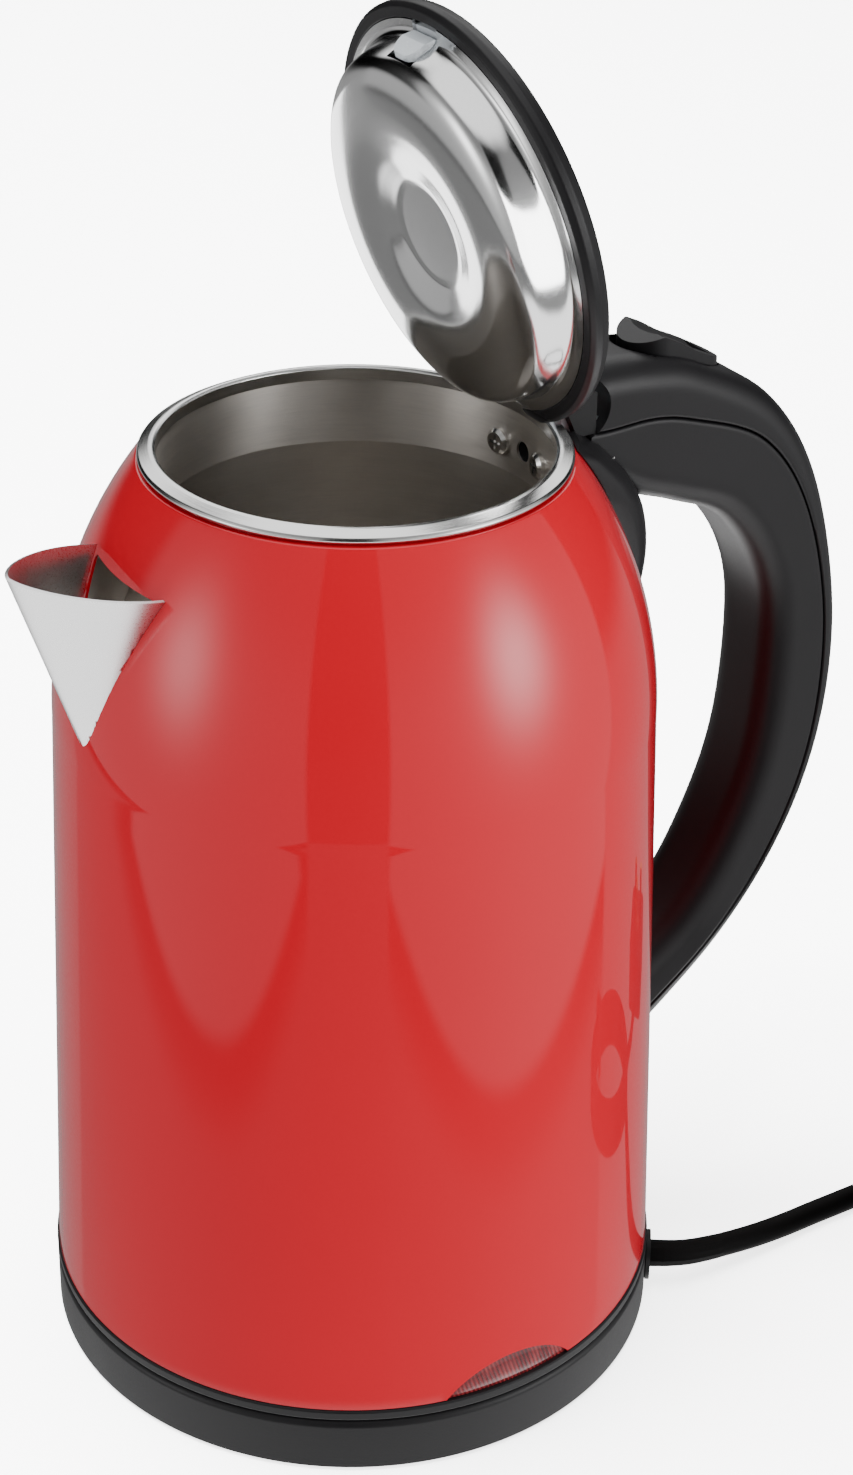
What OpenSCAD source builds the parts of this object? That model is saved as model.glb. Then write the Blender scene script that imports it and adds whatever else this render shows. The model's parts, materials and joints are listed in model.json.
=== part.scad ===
// Double-wall electric kettle on a round power base, drawn with its lid open.
// The table is z = 0, the kettle's axis is the Z axis, the handle is at +X and the spout at -X.

/* [Body] */
// Outer radius of the shell at its foot
shell_low_r = 82.8; // [81.5:0.1:83.2]
// Outer radius of the shell where the shoulder starts
shell_high_r = 77.1; // [76:0.1:78]
// Outer radius of the shell under the neck rim
shell_neck_r = 53.9; // [53.7:0.1:54.4]
// Height of the shell's foot
shell_foot_z = 20.1; // [20.1:0.1:20.4]
// Height where the shoulder starts
shoulder_z = 184; // [180:1:188]
// Height of the shell's top edge
shell_top_z = 252.6; // [252.2:0.1:252.8]
// Sheet thickness of the shell
shell_t = 0.8; // [0.6:0.1:1]
// Inner radius of the pot
pot_r = 66; // [62:1:67]
// Inner radius of the pot's neck
neck_r = 49.2; // [49:0.1:49.4]
// Height of the pot's floor
floor_z = 39.8; // [39.6:0.1:40]

/* [Power base] */
// Outer radius of the base and of the kettle's bottom ring
base_r = 83.3; // [83:0.1:84]
// Height of the base's rim
base_rim_z = 16.4; // [16:0.1:16.6]
// Direction of the cord exit, in degrees from the handle
exit_angle = -35; // [-40:1:-30]

/* [Lid] */
// Angle from the shut lid to the open lid, in degrees
lid_open = 76.5; // [60:0.5:80]
// Distance of the hinge axis from the kettle's axis
pivot_x = 47; // [46.5:0.1:47.5]
// Height of the hinge axis
pivot_z = 263.5; // [263:0.1:264]
// Outer radius of the lid ring
lid_r = 53.7; // [53:0.1:54]
// Radius of the hinge pin
pin_r = 1.5; // [1.2:0.1:1.8]

/* [Cord] */
// Diameter of the cord
cord_d = 6.7; // [6:0.1:7]
// Radius of the coil at the middle of its turns
coil_r = 33.5; // [33.5:0.5:38]
// Turns in the coil
coil_turns = 2.917; // [2:0.001:4]

/* [Hidden] */
$fn = 96;
// Clearance between separate pieces of one body, and between pieces that move past each other
gap = 0.15;
far = 400;

// Shell profile: a straight taper, then one arc over the shoulder
shoulder_drop = shell_high_r - shell_neck_r;
shoulder_arc = (shoulder_drop ^ 2 + (shell_top_z - shoulder_z) ^ 2) / (2 * shoulder_drop);
function shell_r(z) = z < shoulder_z
    ? shell_low_r + (shell_high_r - shell_low_r) * (z - shell_foot_z) / (shoulder_z - shell_foot_z)
    : shell_high_r - shoulder_arc + sqrt(shoulder_arc ^ 2 - (z - shoulder_z) ^ 2);
shell_heights = [shell_foot_z, for (i = [0:10]) shoulder_z + (shell_top_z - shoulder_z) * i / 10];
function backwards(list) = [for (i = [len(list) - 1:-1:0]) list[i]];

// Pot profile, inside face: floor, corner, wall, shoulder and neck
pot_t = 0.6;
pot_corner = 8;
pot_shoulder_z = 196;
neck_z = 235;
neck_top_z = 252.4;
function pot_inside(grow) = [
    [0, floor_z - grow],
    for (a = [-90:15:0]) [pot_r - pot_corner + (pot_corner + grow) * cos(a),
        floor_z + pot_corner + (pot_corner + grow) * sin(a)],
    for (i = [0:6]) let (t = i / 6)
        [neck_r + grow + (pot_r - neck_r) * (1 - t ^ 2), pot_shoulder_z + (neck_z - pot_shoulder_z) * t],
    [neck_r + grow, neck_top_z]];

// A solid of revolution filling the shell, grown by some amount
module shell_solid(grow, low = shell_foot_z, high = shell_top_z) {
    heights = [for (z = shell_heights) if (z > low && z < high) z];
    rotate_extrude()
        polygon([[0, low], [shell_r(low) + grow, low], for (z = heights) [shell_r(z) + grow, z],
            [shell_r(high) + grow, high], [0, high]]);
}

// Extrudes an outline drawn in Y and Z along X, from x_from to x_to
module along_x(x_from, x_to) {
    translate([x_from, 0, 0]) rotate([90, 0, 90]) linear_extrude(x_to - x_from) children();
}

// Extrudes an outline drawn in X and Z along Y, from -half to half
module along_y(half) {
    translate([0, half, 0]) rotate([90, 0, 0]) linear_extrude(2 * half) children();
}

// A round bar along Y, from y_from to y_to
module bar_y(x, z, r, y_from, y_to) {
    translate([x, y_to, z]) rotate([90, 0, 0]) cylinder(r = r, h = y_to - y_from);
}

// ---------------------------------------------------------------- power base

recess_z = 13.4;
plate_top_z = 3.6;
plate_z = 1.6;
tower_r = 14.5;
tower_top_z = 28;
screw_ring_r = 60;
foot_ring_r = 70;
gland_z = 10;
clamp_r = 70;

module at_exit() { rotate([0, 0, exit_angle]) children(); }

module base_housing() color("#2b2b2d") difference() {
    rotate_extrude()
        polygon([[base_r - 0.3, 0.8], [base_r, 1.3], [base_r, base_rim_z - 2],
            for (a = [15:15:90]) [base_r - 2 + 2 * cos(a), base_rim_z - 2 + 2 * sin(a)],
            [79.2, base_rim_z], [78.2, recess_z], [tower_r + 0.6, recess_z], [tower_r + 0.6, 11.2],
            [80.9, 11.2], [80.9, 0.8]]);
    at_exit() translate([75, 0, gland_z - 1.2]) rotate([0, 90, 0]) cylinder(r = 4.4, h = 12);
}

module base_plate() color("#232325") difference() {
    translate([0, 0, plate_z]) cylinder(r = 80.5, h = plate_top_z - plate_z);
    for (a = [30:120:270]) rotate([0, 0, a]) translate([screw_ring_r, 0, 0]) {
        cylinder(r = 1.7, h = 10);
        translate([0, 0, plate_z - 1]) cylinder(r = 3.4, h = 2);
    }
}

module base_foot() color("#3a3a3a") difference() {
    cylinder(r = foot_ring_r + 3, h = plate_z);
    translate([0, 0, -1]) cylinder(r = foot_ring_r - 3, h = 4);
}

module base_screws() color("silver")
    for (a = [30:120:270]) rotate([0, 0, a]) translate([screw_ring_r, 0, 0]) {
        translate([0, 0, plate_z - 0.8]) cylinder(r = 3.2, h = 1.8);
        translate([0, 0, plate_top_z - 1]) cylinder(r = 1.5, h = 7.6);
    }

slot_in = 7.4;
slot_out = 10.4;
socket_r = 3;

module base_connector() color("#1f1f21") difference() {
    rotate_extrude()
        polygon([[0, 5.2], [22, 5.2], [22, 11.1], [tower_r, 11.1], [tower_r, tower_top_z - 1.5],
            [tower_r - 1.5, tower_top_z], [0, tower_top_z]]);
    translate([0, 0, 10]) cylinder(r = socket_r, h = far);
    translate([0, 0, 12]) difference() {
        cylinder(r = slot_out, h = far);
        cylinder(r = slot_in, h = far);
    }
}

module base_contacts() color("#c9a227") {
    translate([0, 0, 10]) difference() {
        cylinder(r = socket_r, h = 14);
        translate([0, 0, 1]) cylinder(r = socket_r - 0.8, h = 14);
    }
    translate([0, 0, 12]) difference() {
        cylinder(r = slot_out, h = 12);
        translate([0, 0, -1]) cylinder(r = slot_out - 0.5, h = 14);
    }
}

// ---------------------------------------------------------------- cord

// Route of the cord from the base to the coil, and from the top of the coil to the plug
lead_route = [[68.5, -48, 10], [73, -50.8, 9.9], [79, -52.8, 9.2], [86, -53.4, 8.1], [93, -53.4, 7],
    [101, -53.2, 5.8], [109, -52.7, 4.7], [117, -52.1, 3.9], [125, -51.6, 3.5], [133, -51.5, 3.4],
    [142, -51.5, 3.4], [153, -51.5, 3.4], [165, -51.5, 3.4]];
tail_route = [[148.3, -56, 22.9], [157, -51, 21], [167, -45.2, 17.5], [177, -39.5, 13.5],
    [187, -33.7, 10.8], [196, -28.5, 10]];
coil_centre = [165, -85];
coil_height = 26.5;
relief_steps = 12;

// A point on the smooth curve through a list of points, at a station such as 2.4
function held(list, i) = list[max(0, min(len(list) - 1, i))];
function on_curve(list, s) = let (i = min(floor(s), len(list) - 2), t = s - i,
    a = held(list, i - 1), b = list[i], c = list[i + 1], d = held(list, i + 2))
    b + t * (c - a) / 2 + t ^ 2 * (a - 2.5 * b + 2 * c - d / 2) + t ^ 3 * (1.5 * (b - c) + (d - a) / 2);
function unit(v) = v / norm(v);

// A closed tube along a curve, with one radius for each ring
module swept_tube(centres, radii, sides = 12) {
    rings = len(centres);
    points = [for (i = [0:rings - 1]) let (
        ahead = unit(held(centres, i + 1) - held(centres, i - 1)),
        side = unit(cross([0, 0, 1], ahead)), up = cross(ahead, side))
        for (k = [0:sides - 1])
            centres[i] + radii[i] * (cos(360 * k / sides) * side + sin(360 * k / sides) * up)];
    skin = [for (i = [0:rings - 2], k = [0:sides - 1]) let (n = (k + 1) % sides)
        [i * sides + k, (i + 1) * sides + k, (i + 1) * sides + n, i * sides + n]];
    ends = [[for (k = [0:sides - 1]) k], [for (k = [sides - 1:-1:0]) (rings - 1) * sides + k]];
    polyhedron(points, concat(skin, ends), convexity = 4);
}

relief_end = 3.5;
relief_line = [for (i = [0:relief_steps]) on_curve(lead_route, relief_end * i / relief_steps)];
lead_stations = [for (s = [relief_end:0.5:12]) s];
tail_stations = [for (s = [0:0.5:5]) s];

module cord_gland() color("#1d1d1f") at_exit() translate([0, 0, gland_z]) {
    difference() {
        translate([base_r + 0.05, 0, 0]) rotate([0, 90, 0]) linear_extrude(1.2)
            hull() for (z = [-1.5, 2.5]) translate([z, 0]) circle(r = 5.5);
        translate([60, 0, 0]) rotate([0, 90, 0]) cylinder(r = 3.2, h = 40);
    }
}

module cord_clamp() color("#4a4a4d") at_exit() {
    difference() {
        translate([clamp_r - 5, -9, plate_top_z + 0.05]) cube([10, 18, 7.4]);
        translate([clamp_r - 10, 0, 7.2]) rotate([0, 90, 0]) cylinder(r = 3.3, h = 20);
    }
}

module strain_relief() color("#1d1d1f") difference() {
    swept_tube(relief_line, [for (i = [0:relief_steps]) 3.9 - 0.4 * i / relief_steps]);
    rotate_extrude() square([base_r + 1.3, 40]);
}

module power_lead() color("#1a1a1b") {
    swept_tube([for (s = lead_stations) on_curve(lead_route, s)], [for (s = lead_stations) cord_d / 2]);
    swept_tube([for (s = tail_stations) on_curve(tail_route, s)], [for (s = tail_stations) cord_d / 2]);
}

module lead_coil() color("#1a1a1b") translate(coil_centre) rotate_extrude()
    polygon([[coil_r - cord_d / 2, 0.1], [coil_r + cord_d / 2, 0.1], [coil_r + cord_d / 2, coil_height],
        [coil_r - cord_d / 2, coil_height]]);

module lead_tie() color("#111111") translate(coil_centre) rotate([0, 0, -60]) translate([coil_r, 0, 0])
    along_y(2.5) difference() {
        translate([-4.8, 0]) square([9.6, coil_height + 1.4]);
        translate([-cord_d / 2 - 0.2, -1]) square([cord_d + 0.4, coil_height + 1.2]);
    }

plug_l = 44;
plug_w = 50;
plug_h = 22;
boot_l = 14;
plug_angle = 30;
pin_places = [[12, 0, 8, 4, 22], [33, 11, 4, 6.5, 17], [33, -11, 4, 6.5, 17]];

// The plug lies on its back: its X runs on from the cord, and its pins point up
module at_plug() { translate([196, -28.5, 0]) rotate([0, 0, plug_angle]) children(); }

module plug_body() color("#1c1c1e") at_plug() {
    difference() {
        translate([boot_l, 0, 0]) linear_extrude(plug_h)
            hull() {
                for (y = [-1, 1]) translate([6, y * (plug_w / 2 - 9)]) circle(r = 6);
                for (y = [-1, 1]) translate([plug_l - 8, y * (plug_w / 2 - 8)]) circle(r = 8);
            }
        for (p = pin_places) translate([boot_l + p[0] - p[2] / 2, p[1] - p[3] / 2, plug_h - 4])
            cube([p[2], p[3], far]);
        translate([boot_l + 20, -7, plug_h - 1.2]) cube([7, 14, far]);
    }
    translate([0, 0, 10]) rotate([0, 90, 0]) cylinder(r1 = 4.4, r2 = 7, h = boot_l + 0.5);
}

module plug_pins() color("#c8a95a") at_plug()
    for (p = pin_places) translate([boot_l + p[0] - p[2] / 2, p[1] - p[3] / 2, plug_h - 4])
        cube([p[2], p[3], p[4] + 4]);

module plug_fuse_cover() color("#8a2f2a") at_plug()
    translate([boot_l + 20.1, -6.9, plug_h - 1.2]) cube([6.8, 13.8, 1.2]);

// ---------------------------------------------------------------- coupler, under the kettle

coupler_z = 17.2;
coupler_top_z = 31.5;
well_top_z = 29;

module coupler_socket() color("#d8d8d4") difference() {
    rotate_extrude()
        polygon([[0, coupler_top_z], [18.5, coupler_top_z], [18.5, 19.2], [25.4, 19.2], [25.4, coupler_z],
            [16, coupler_z], [16, well_top_z], [0, well_top_z]]);
    translate([0, 0, 20]) cylinder(r = 1.7, h = 20);
}

module coupler_contacts() color("#c9a227") {
    translate([0, 0, 14]) cylinder(r = 1.7, h = coupler_top_z - 14);
    translate([0, 0, 15]) difference() {
        cylinder(r = 9.1, h = well_top_z - 15);
        translate([0, 0, -1]) cylinder(r = 8.3, h = 40);
    }
}

// ---------------------------------------------------------------- kettle body

window_top_z = 233;
lens_arch_r = 24.5;
lens_centre_z = 4.8;
screw_spread = 10.9;
steam_z = 242.6;
handle_screw_z = 68;

module spout_window(grow) hull() {
    for (y = [-1, 1]) translate([y * 14, window_top_z]) circle(r = 1.5 + grow);
    translate([0, 196]) circle(r = 2.5 + grow);
}

module outer_shell() color("#c4161c") difference() {
    rotate_extrude() {
        polygon(concat([for (z = shell_heights) [shell_r(z), z]],
            backwards([for (z = shell_heights) [shell_r(z) - shell_t, z]])));
        translate([neck_r + pot_t + gap, shell_top_z - shell_t])
            square([shell_neck_r - shell_t - neck_r - pot_t - gap + 0.3, shell_t]);
    }
    along_x(-90, -50) spout_window(0);
    translate([0, -70, lens_centre_z]) rotate([90, 0, 0]) cylinder(r = lens_arch_r, h = 20);
    translate([40, 0, steam_z]) rotate([0, 90, 0]) cylinder(r = 6, h = 40);
    for (a = [-screw_spread, screw_spread]) rotate([0, 0, a]) translate([40, 0, steam_z])
        rotate([0, 90, 0]) cylinder(r = 2.2, h = 40);
    translate([60, 0, handle_screw_z]) rotate([0, 90, 0]) cylinder(r = 2.2, h = 40);
}

module inner_pot() color("#b9b9b6") difference() {
    rotate_extrude() polygon(concat(pot_inside(0), backwards(pot_inside(pot_t))));
    translate([40, 0, steam_z]) rotate([0, 90, 0]) cylinder(r = 2.7, h = 20);
    for (a = [-screw_spread, screw_spread]) rotate([0, 0, a]) translate([40, 0, steam_z])
        rotate([0, 90, 0]) cylinder(r = 2.1, h = 20);
    for (row = [0:3], k = [-3 + row:2:3 - row]) translate([-80, k * 3.2, 228 - 5 * (3 - row)])
        rotate([0, 90, 0]) cylinder(r = 1.6, h = 40);
}

module neck_rim() color("#cfcfcd") rotate_extrude()
    polygon([[48.9, neck_top_z + 0.05], [48.9, 255.4], [49.2, 255.9], [49.8, 256.1], [50.6, 256],
        [53.1, 254.8], [53.6, 254.3], [53.65, 253.7], [53.2, 253.1], [50, 253.1], [50, neck_top_z + 0.05]]);

// Lip of the spout, seen from above: half-width against distance from the axis
lip_curve = [[-58, 17.6], [-76, 22], [-93, 9], [-94.3, 0]];
lip_slope = 10.2;
lip_low_z = 235;
function bezier(p, t) = (1 - t) ^ 3 * p[0] + 3 * (1 - t) ^ 2 * t * p[1]
    + 3 * (1 - t) * t ^ 2 * p[2] + t ^ 3 * p[3];
lip_half = [for (i = [0:10]) bezier(lip_curve, i / 10)];

module spout_form(wall, over) hull() {
    translate([-60, 0, lip_low_z]) rotate([0, lip_slope, 0]) translate([60, 0, 0])
        linear_extrude(over) offset(delta = -wall)
            polygon(concat(lip_half, backwards([for (p = lip_half) if (p[1] > 0) [p[0], -p[1]]])));
    translate([-71.6, 0, 194.2]) sphere(r = 5.5 - wall, $fn = 32);
}

module spout() color("#c9c9c9") difference() {
    spout_form(0, 0.1);
    spout_form(0.8, 1);
    shell_solid(0.05, 180, shell_top_z);
}

module spout_throat() color("#a9a9a6") intersection() {
    along_x(-80, -45) difference() {
        spout_window(1.4);
        spout_window(0.6);
    }
    difference() {
        shell_solid(-shell_t - 0.05, 185, 245);
        rotate_extrude() polygon(concat(pot_inside(pot_t + 0.05), [[0, neck_top_z]]));
    }
}

plate_low_z = 36.6;
ring_r = 44;
ring_tube = 4;

module element_plate() color("#9a9a98")
    translate([0, 0, plate_low_z]) cylinder(r = 57, h = floor_z - pot_t - plate_low_z - 0.05);

module heating_element() color("#77736d") translate([0, 0, plate_low_z - ring_tube - 0.05]) {
    rotate([0, 0, 25]) rotate_extrude(angle = 310) translate([ring_r, 0]) circle(r = ring_tube);
    for (a = [25, 335]) rotate([0, 0, a]) translate([ring_r, 0, -9]) cylinder(r = 2, h = 9);
}

module control_unit() color("#e4e2dc") difference() {
    translate([0, 0, 20]) cylinder(r = 33, h = plate_low_z - 20 - 0.05);
    translate([0, 0, 0]) cylinder(r = 19.2, h = 32);
    for (s = [-1, 1]) translate([-50, s * 38 - 12, 0]) cube([100, 24, 60]);
}

module bottom_ring() color("#2b2b2d") difference() {
    rotate_extrude()
        polygon([[26, 17], [68, 17], [68, 13.8], [72, 13.8], [72, 17], [82.6, 16.8], [base_r, 17.5],
            [base_r, 19.6], [82.9, 20], [80.4, 20], [80.4, 27], [78.4, 27], [78.4, 19.2], [26, 19.2]]);
    for (a = [90:120:330]) rotate([0, 0, a]) translate([screw_ring_r - 4, 0, 0]) {
        cylinder(r = 1.7, h = 40);
        translate([0, 0, 16]) cylinder(r = 3.4, h = 2);
    }
}

module bottom_screws() color("silver")
    for (a = [90:120:330]) rotate([0, 0, a]) translate([screw_ring_r - 4, 0, 17]) {
        cylinder(r = 3.2, h = 1);
        cylinder(r = 1.5, h = 11);
    }

module indicator_lens() color("#d0202055") intersection() {
    rotate_extrude() polygon([[81, 20.1], [83.1, 20.1], [83.1, 29.6], [81, 29.6]]);
    translate([0, -70, lens_centre_z]) rotate([90, 0, 0]) cylinder(r = lens_arch_r - 0.15, h = 20);
}

module indicator_lamp() color("#e8e0c8") {
    translate([-8, -76.5, 20.3]) cube([16, 1.6, 6]);
    for (x = [-4, 4]) translate([x, -76.5, 23.4]) rotate([90, 0, 0]) cylinder(r = 1.2, h = 1.6);
}

// ---------------------------------------------------------------- handle

// Side view of the handle: outer edge, inner edge and half-width at ten stations from the neck down
handle_outer = [[60, 267.2], [78, 266.2], [95, 262.2], [121, 247.2], [138.5, 221], [149, 180],
    [148, 142], [136.5, 108], [115, 77.5], [80, 48]];
handle_inner = [[60, 240], [76, 229], [90, 223.4], [107, 215.2], [119.5, 198.5], [124.6, 177],
    [122.8, 141], [113.2, 113], [98.5, 91], [76.5, 75]];
handle_half = [14.5, 14.5, 14.5, 14.2, 14, 14, 14, 13.8, 13.2, 12.5];
// How far the seam lies from the outer edge, as a share of the thickness
handle_seam = [0.62, 0.42, 0.38, 0.32, 0.3, 0.28, 0.27, 0.28, 0.3, 0.32];
handle_stations = [for (s = [0:0.375:9]) s];
cavity_stations = [for (s = [1.07:0.41:8.5]) s];
seam_stations = [for (s = [0:0.5:9]) s];
handle_wall = 2.4;
corner_r = 8;
function seam_at(s) = on_curve(handle_outer, s)
    + (on_curve(handle_inner, s) - on_curve(handle_outer, s)) * on_curve(handle_seam, s);

// Points around one slice across the handle, shrunk by wall
function handle_ring(s, wall) = let (
    a = on_curve(handle_outer, s), b = on_curve(handle_inner, s), out = unit(a - b), middle = (a + b) / 2,
    r = corner_r - wall, deep = norm(a - b) / 2 - corner_r, wide = on_curve(handle_half, s) - corner_r)
    [for (corner = [0:3], step = [0:4]) let (
        angle = 90 * corner + 22.5 * step,
        u = (corner == 0 || corner == 3 ? deep : -deep) + r * cos(angle),
        v = (corner < 2 ? wide : -wide) + r * sin(angle), at = middle + u * out) [at[0], v, at[1]]];

module handle_form(wall, stations) {
    rings = len(stations);
    sides = 20;
    points = [for (s = stations) each handle_ring(s, wall)];
    skin = [for (i = [0:rings - 2], k = [0:sides - 1]) let (n = (k + 1) % sides)
        each [[i * sides + k, i * sides + n, (i + 1) * sides + n],
            [i * sides + k, (i + 1) * sides + n, (i + 1) * sides + k]]];
    ends = [[for (k = [sides - 1:-1:0]) k], [for (k = [0:sides - 1]) (rings - 1) * sides + k]];
    polyhedron(points, concat(skin, ends), convexity = 6);
}

// Everything on the outer side of the seam
module seam_side(shift) along_y(40) polygon(concat(
    [for (s = seam_stations)
        seam_at(s) + shift * unit(on_curve(handle_outer, s) - on_curve(handle_inner, s))],
    [[60, 20], [200, 20], [200, 300], [60, 300]]));

// The pocket in the front of the handle that the lid hinge sits in
pocket_z = 250;
module hinge_pocket() {
    bar_y(57, 257.5, 8.5, -40, 40);
    translate([50, -13.6, pocket_z]) cube([12, 27.2, 30]);
    translate([60, -11, pocket_z]) cube([12.2, 22, 3.3]);
}

rocker_x0 = 78.6;
rocker_x1 = 107;
rocker_half = 9;

// The rocker seen from above: a long shape with round ends, and its opening with room for the travel
module rocker_plan(grow, front) hull() {
    translate([rocker_x0 + rocker_half - front, 0, 230]) cylinder(r = rocker_half + grow, h = 60);
    translate([rocker_x1 - rocker_half, 0, 230]) cylinder(r = rocker_half + grow, h = 60);
}

module rocker_slot() intersection() {
    rocker_plan(0.5, 1.6);
    along_y(20) polygon([[70, 280], [70, 254], [110, 243], [110, 280]]);
}

saddle_r = [[57, 252.2], [65, 247.3], [73.8, 238.5], [81, 226.5], [84.2, 213], [83.8, 199], [81.4, 186],
    [77.8, 173]];
saddle_half = [[0, 174], [5, 180], [11, 196], [16.5, 214], [22, 234], [25, 252.2]];

module saddle() intersection() {
    rotate_extrude() polygon(concat([[0, 173]], backwards(saddle_r), [[0, 252.2]]));
    along_x(30, 100) polygon(concat(saddle_half,
        backwards([for (p = saddle_half) if (p[0] > 0) [-p[0], p[1]]])));
}

module handle_body() color("#262628") difference() {
    union() {
        difference() {
            handle_form(0, handle_stations);
            seam_side(-gap);
        }
        saddle();
    }
    handle_form(handle_wall, cavity_stations);
    shell_solid(gap, 30, shell_top_z);
    cylinder(r = 54.6, h = far);
    hinge_pocket();
    rocker_slot();
    translate([50, 0, steam_z]) rotate([0, 90, 0]) cylinder(r = 5.4, h = 28, $fn = 32);
    for (a = [-screw_spread, screw_spread]) rotate([0, 0, a]) translate([40, 0, steam_z])
        rotate([0, 90, 0]) cylinder(r = 1.7, h = 32, $fn = 24);
    translate([70, 0, handle_screw_z]) rotate([0, 90, 0]) cylinder(r = 1.9, h = 22, $fn = 24);
}

module handle_cover() color("#262628") difference() {
    intersection() {
        handle_form(0, handle_stations);
        seam_side(gap);
    }
    handle_form(handle_wall, cavity_stations);
    shell_solid(gap, 30, 120);
    hinge_pocket();
    rocker_slot();
}

module handle_screws() color("silver")
    translate([shell_r(handle_screw_z) - shell_t - 0.4, 0, handle_screw_z]) rotate([0, 90, 0]) {
    translate([0, 0, -2.4]) cylinder(r = 4, h = 2.4);
    translate([0, 0, -1]) cylinder(r = 1.7, h = 10);
}

module neck_screws() color("#c8c8c6")
    for (a = [-screw_spread, screw_spread]) rotate([0, 0, a]) translate([neck_r - 2, 0, steam_z])
        rotate([0, 90, 0]) difference() {
            union() {
                cylinder(r1 = 2.6, r2 = 3.5, h = 0.8);
                translate([0, 0, 0.8]) cylinder(r = 3.5, h = 1.1);
                translate([0, 0, 1.8]) cylinder(r = 1.5, h = 20);
            }
            for (t = [0, 90]) rotate([0, 0, t]) translate([-1.9, -0.35, -0.1]) cube([3.8, 0.7, 0.9]);
        }

module steam_tube() color("#c7c2b8") translate([neck_r + pot_t + 0.1, 0, steam_z]) rotate([0, 90, 0])
    difference() {
        union() {
            cylinder(r = 4.8, h = 3);
            cylinder(r = 4, h = 30);
        }
        translate([0, 0, -1]) cylinder(r = 2.7, h = 40);
    }

module steam_switch() color("#e4e2dc") difference() {
    translate([81, -8, 236]) cube([20, 16, 11.4]);
    translate([78, 0, steam_z]) rotate([0, 90, 0]) cylinder(r = 6.6, h = 6);
}

module bimetal_disc() color("#8f8a80") translate([83.4, 0, steam_z]) rotate([0, 90, 0])
    cylinder(r = 6.3, h = 0.6);

wire_route = [[97, 235], [108, 229], [121, 213], [131, 194], [136.5, 170], [135.5, 145], [127.5, 116],
    [113, 92], [102, 80]];

module handle_wires() color("#5b2320") for (y = [-2.4, 2.4])
    swept_tube([for (s = [0:0.5:8]) let (p = on_curve(wire_route, s)) [p[0], y, p[1]]],
        [for (s = [0:0.5:8]) 1.3], 8);

// ---------------------------------------------------------------- lid hinge and switch

cheek_in = 7.6;
cheek_out = 10.6;

module bracket_outline() hull() {
    translate([pivot_x, pivot_z]) circle(r = 3.6);
    translate([56.6, pocket_z]) square([4, 7]);
}

module hinge_bracket() color("#b9bcc0") difference() {
    union() {
        for (y = [-1, 1]) translate([0, y * (cheek_in + cheek_out) / 2, 0])
            along_y((cheek_out - cheek_in) / 2) bracket_outline();
        translate([56.6, -cheek_out, pocket_z]) cube([15.3, 2 * cheek_out, 3]);
    }
    translate([0, 0, 240]) cylinder(r = 54.3, h = 16.4);
    shell_solid(gap, 200, shell_top_z);
    bar_y(pivot_x, pivot_z, pin_r, -30, 30);
}

module hinge_cover() color("#2a2a2c") for (y = [-12.1, 12.1]) translate([0, y, 0]) along_y(1.3)
    polygon([[56.4, 250], [62, 250], [62, 261], [57.5, 263.6], [53, 262.4], [53, 257.5]]);

module hinge_pin() color("#c8c8c6") bar_y(pivot_x, pivot_z, pin_r, -cheek_out - 0.8, cheek_out + 0.8);

module hinge_spring() color("#8d8d8d") for (i = [-2:2]) translate([pivot_x, i * 1.05, pivot_z])
    rotate([90, 0, 0]) rotate_extrude() translate([2.5, 0]) circle(r = 0.5, $fn = 16);

rocker_x = 94;
rocker_z = 252;

module switch_rocker() color("#2c2c2e") intersection() {
    rocker_plan(0, 0);
    along_y(rocker_half + 1) difference() {
        polygon([[78, 267.2], [85.5, 269.6], [90, 267.5], [96, 263.9], [102, 261.2], [108, 258.4],
            [108, 255.4], [100, 253.4], [96.5, 249], [91.5, 249], [87, 258], [78, 263]]);
        translate([rocker_x, rocker_z]) circle(r = 1.55);
    }
}

module switch_pin() color("#c8c8c6") bar_y(rocker_x, rocker_z, 1.5, -11.4, 11.4);

// ---------------------------------------------------------------- lid, drawn shut and then opened

ring_low_z = 256.4;
module open_lid() {
    translate([pivot_x, 0, pivot_z]) rotate([0, lid_open, 0]) translate([-pivot_x, 0, -pivot_z]) children();
}

// Room that the lid needs behind the hinge axis as it swings, and the slot for the hinge bracket
module hinge_swing() difference() {
    translate([pivot_x, -40, 240]) cube([20, 80, 40]);
    bar_y(pivot_x, pivot_z, 6.9, -50, 50);
}

module hinge_slot(from_x) translate([from_x, -11.4, 240]) cube([30, 22.8, 40]);

button_x = -34;
press = 2.5;
lid_screw_angles = [0:120:240];

module lid_ring() color("#242426") open_lid() difference() {
    rotate_extrude()
        polygon([[50, ring_low_z + 0.9], [50, ring_low_z], [52.6, ring_low_z], [53.5, 257.4], [lid_r, 258.8],
            [53.3, 260.6], [52, 262.2], [50.4, 262.9], [44, 262.9], [44, 260.4], [47, 260.2], [49, 258.8]]);
    hinge_swing();
    hinge_slot(39.5);
}

module lid_cap() color("#c9c9c7") open_lid() difference() {
    rotate_extrude()
        polygon([for (i = [0:8]) let (t = i / 8) [50.2 * t, 266.6 - 3.6 * t ^ 2],
            for (i = [8:-1:0]) let (t = i / 8) [49.4 * t, 265.9 - 2.95 * t ^ 2]]);
    translate([button_x, 0, 250]) cylinder(r = 8.4, h = 30);
    hinge_swing();
    hinge_slot(41);
}

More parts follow.
